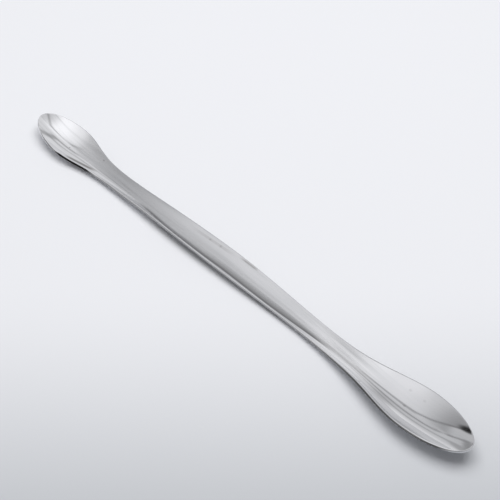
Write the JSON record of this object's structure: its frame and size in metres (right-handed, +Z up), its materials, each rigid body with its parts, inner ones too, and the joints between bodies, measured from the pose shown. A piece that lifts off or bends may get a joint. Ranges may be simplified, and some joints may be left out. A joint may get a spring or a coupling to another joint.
{
  "type": "double-ended lab spoon",
  "caption": "Lab spoon pressed from one strip of polished steel, with a small bowl at one end, a large bowl at the other and a shallow gutter of a handle between them.",
  "frame": {"origin": "on the floor under the middle of the length, as the spoon lies with its bowls facing up", "axes": "+X along the length towards the large bowl, +Z up out of the bowls, +Y across"},
  "size_m": [0.2198, 0.0192, 0.0068],
  "materials": {
    "steel": "polished"
  },
  "bodies": {
    "root": {"double_ended_spoon": "steel"}
  },
  "joints": []
}
